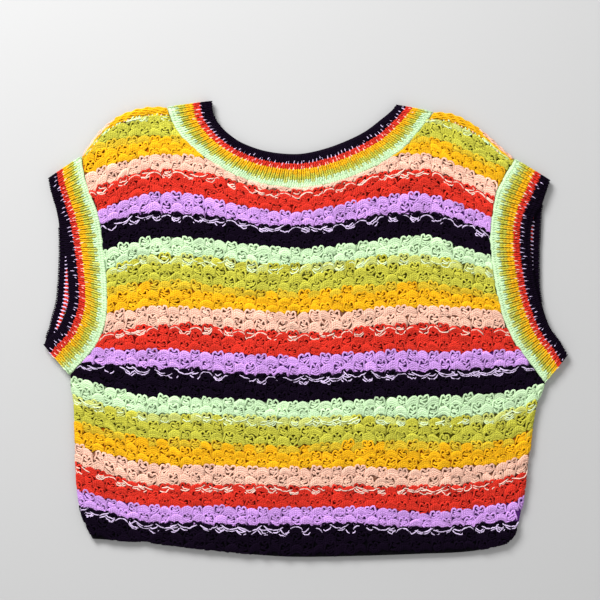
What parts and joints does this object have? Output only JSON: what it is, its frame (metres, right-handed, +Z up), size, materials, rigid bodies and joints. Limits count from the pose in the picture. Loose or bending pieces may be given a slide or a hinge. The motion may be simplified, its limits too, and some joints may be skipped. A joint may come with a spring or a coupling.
{
  "type": "sweater vest",
  "caption": "Cropped sleeveless pullover in a chunky striped relief knit with ribbed neck and armhole bands, laid out flat.",
  "frame": {"origin": "under the middle of the garment's bounding box, on the surface that it lies on", "axes": "+X across the chest, towards the right as seen from above; +Y from the hem towards the neck; +Z up from the surface"},
  "size_m": [0.544, 0.474, 0.0089],
  "materials": {
    "relief_knit": "thick matt wool yarn in stripes of seven colours, knitted in a puffed relief stitch",
    "rib_knit": "matt wool yarn in fine stripes, knitted in one by one rib"
  },
  "bodies": {
    "root": {"front_panel": "relief_knit", "back_panel": "relief_knit", "neckband": "rib_knit", "armband_left": "rib_knit", "armband_right": "rib_knit"}
  },
  "joints": []
}
